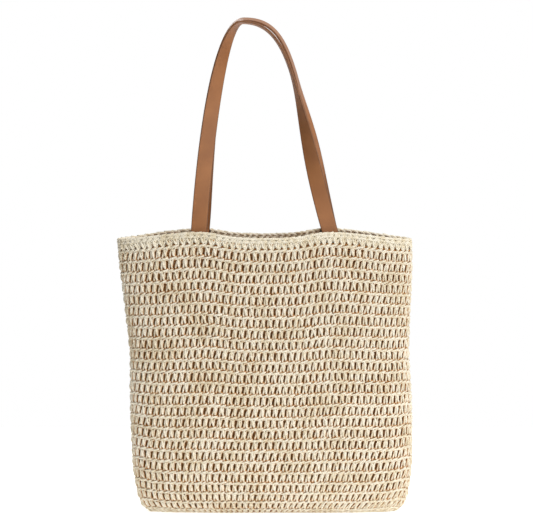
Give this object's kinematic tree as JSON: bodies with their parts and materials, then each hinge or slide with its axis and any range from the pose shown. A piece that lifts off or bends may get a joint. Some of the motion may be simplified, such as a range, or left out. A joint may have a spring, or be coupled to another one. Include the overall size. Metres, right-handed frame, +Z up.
{
  "type": "beach bag",
  "caption": "Soft open tote crocheted from paper-straw yarn, lined with cloth, with two flat tan shoulder straps sewn inside the rim.",
  "frame": {"origin": "middle of the footprint, on the surface that the bag stands on", "axes": "+X to the right of someone facing the bag's front, +Y from front to back, +Z up; the front faces -Y"},
  "size_m": [0.3809, 0.108, 0.6397],
  "materials": {
    "straw_yarn": "matt twisted paper straw",
    "lining_cloth": "plain-woven cotton",
    "lining_thread": "twisted polyester thread",
    "black_felt": "pressed felt",
    "tan_leather": "smooth, with a painted edge",
    "strap_thread": "waxed thread"
  },
  "bodies": {
    "bag": {"crochet_base": "straw_yarn", "crochet_wall": "straw_yarn", "crochet_rim": "straw_yarn", "lining_front_panel": "lining_cloth", "lining_back_panel": "lining_cloth", "lining_base_panel": "lining_cloth", "lining_hem": "lining_cloth", "hem_stitches": "lining_thread", "front_left_patch": "black_felt", "front_left_tab": "tan_leather", "front_left_stitches": "strap_thread", "front_right_patch": "black_felt", "front_right_tab": "tan_leather", "front_right_stitches": "strap_thread", "back_left_patch": "black_felt", "back_left_tab": "tan_leather", "back_left_stitches": "strap_thread", "back_right_patch": "black_felt", "back_right_tab": "tan_leather", "back_right_stitches": "strap_thread"},
    "front_strap": {"front_strap_top_layer": "tan_leather", "front_strap_under_layer": "tan_leather"},
    "back_strap": {"back_strap_top_layer": "tan_leather", "back_strap_under_layer": "tan_leather"}
  },
  "joints": [
    {"name": "front_strap_swing", "type": "hinge", "parent": "bag", "child": "front_strap", "pos_m": [0, -0.03628, 0.36614], "axis": [1, 0, 0], "range_deg": [0, 172]},
    {"name": "back_strap_swing", "type": "hinge", "parent": "bag", "child": "back_strap", "pos_m": [0, 0.03628, 0.36614], "axis": [-1, 0, 0], "range_deg": [0, 172]}
  ]
}
